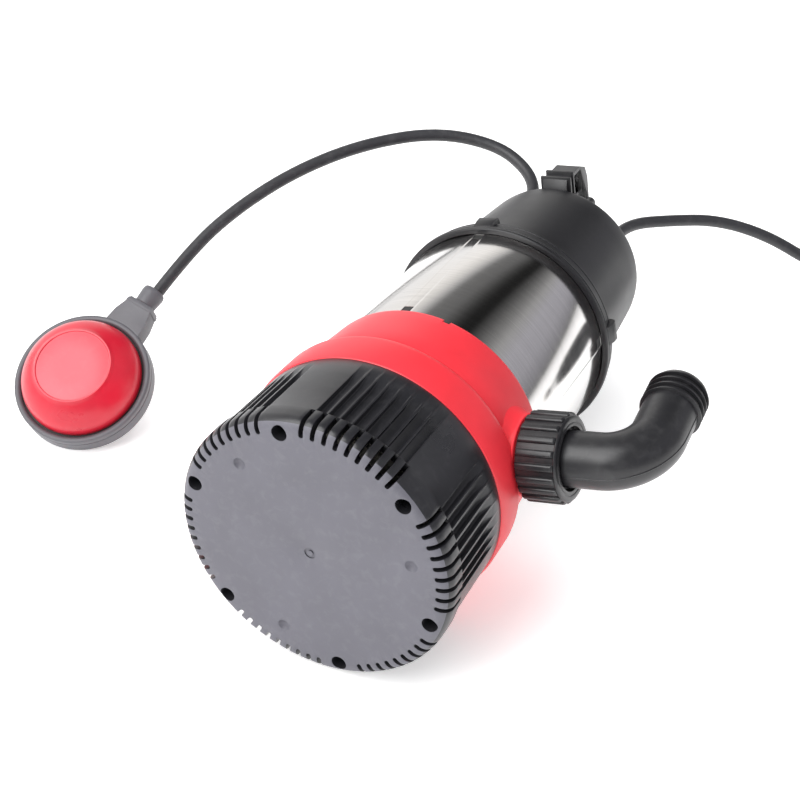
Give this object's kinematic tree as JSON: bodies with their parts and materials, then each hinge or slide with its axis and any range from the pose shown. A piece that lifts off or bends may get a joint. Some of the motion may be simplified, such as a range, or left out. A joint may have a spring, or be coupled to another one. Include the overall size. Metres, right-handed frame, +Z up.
{
  "type": "submersible pump with float switch",
  "caption": "Submersible pump lying down: slotted strainer base, banded housing with hose elbow, steel motor jacket, capped end with handle, float switch on a cord, and a coiled mains cord.",
  "frame": {"origin": "centre of the strainer base's outer face", "axes": "+Y along the pump's axis from the base towards the handle, +Z up as the pump lies, +X towards the outlet's side"},
  "size_m": [0.7842, 0.747, 0.1888],
  "materials": {
    "black_plastic": "satin moulded",
    "red_plastic": "satin moulded",
    "jacket_steel": "fine brushed",
    "float_grey": "satin moulded",
    "float_red": "satin moulded",
    "cord_rubber": "matt",
    "seal_rubber": "matt",
    "screw_steel": "plain",
    "shaft_steel": "ground",
    "bearing_steel": "polished",
    "core_iron": "laminated",
    "winding_copper": "enamelled",
    "bracket_aluminium": "as cast",
    "impeller_plastic": "moulded",
    "seal_carbon": "lapped",
    "pin_brass": "plated"
  },
  "bodies": {
    "root": {"strainer_base": "black_plastic", "base_screws": "screw_steel", "pump_housing": "red_plastic", "outlet_washer": "seal_rubber", "suction_plate": "impeller_plastic", "diffuser_1": "impeller_plastic", "diffuser_2": "impeller_plastic", "diffuser_3": "impeller_plastic", "lower_bearing_outer": "bearing_steel", "lower_bearing_balls": "bearing_steel", "upper_bearing_outer": "bearing_steel", "upper_bearing_balls": "bearing_steel", "seal_seat": "seal_carbon", "seal_plate": "bracket_aluminium", "motor_shell": "jacket_steel", "stator_core": "core_iron", "stator_windings": "winding_copper", "upper_bracket": "bracket_aluminium", "steel_jacket": "jacket_steel", "latch_tongues": "black_plastic", "jacket_flange": "black_plastic", "lower_jacket_seal": "seal_rubber", "upper_jacket_seal": "seal_rubber", "pump_cap": "black_plastic", "float_gland": "black_plastic", "mains_gland": "black_plastic", "carry_handle": "black_plastic", "handle_screws": "screw_steel", "capacitor": "bracket_aluminium", "terminal_block": "impeller_plastic", "float_body": "float_grey", "float_cover": "float_red", "float_seal": "seal_rubber", "float_neck": "float_grey", "float_collar": "float_grey", "ball_tube": "impeller_plastic", "micro_switch": "black_plastic", "float_cord": "cord_rubber", "mains_cord": "cord_rubber", "mains_coil": "cord_rubber", "plug_cord": "cord_rubber", "plug_body": "cord_rubber", "plug_pins": "pin_brass"},
    "rotor": {"pump_shaft": "shaft_steel", "impeller_1": "impeller_plastic", "impeller_2": "impeller_plastic", "impeller_3": "impeller_plastic", "impeller_nut": "shaft_steel", "stage_sleeves": "shaft_steel", "lower_bearing_inner": "bearing_steel", "upper_bearing_inner": "bearing_steel", "seal_ring": "seal_carbon", "seal_spring": "shaft_steel", "rotor_core": "core_iron", "rotor_end_rings": "bracket_aluminium"},
    "nut": {"union_nut": "black_plastic"},
    "elbow": {"hose_elbow": "black_plastic"},
    "ball": {"float_ball": "bearing_steel"},
    "plunger": {"switch_plunger": "float_red"}
  },
  "joints": [
    {"name": "rotor_spin", "type": "hinge", "parent": "root", "child": "rotor", "pos_m": [0, 0.2, 0], "axis": [0, 1, 0], "continuous": true},
    {"name": "union_nut_spin", "type": "hinge", "parent": "root", "child": "nut", "pos_m": [0.10169, 0.1295, 0.0218], "axis": [0.9778, 0, 0.2096], "continuous": true},
    {"name": "elbow_swivel", "type": "hinge", "parent": "root", "child": "elbow", "pos_m": [0.10169, 0.1295, 0.0218], "axis": [0.9778, 0, 0.2096], "continuous": true},
    {"name": "ball_roll", "type": "slide", "parent": "root", "child": "ball", "axis": [0.2101, 0.8327, 0.5124], "range_m": [0, 0.0298]},
    {"name": "plunger_press", "type": "slide", "parent": "root", "child": "plunger", "axis": [0.2101, 0.8327, 0.5124], "range_m": [0, 0.002], "stiffness_N_per_m": 150}
  ]
}
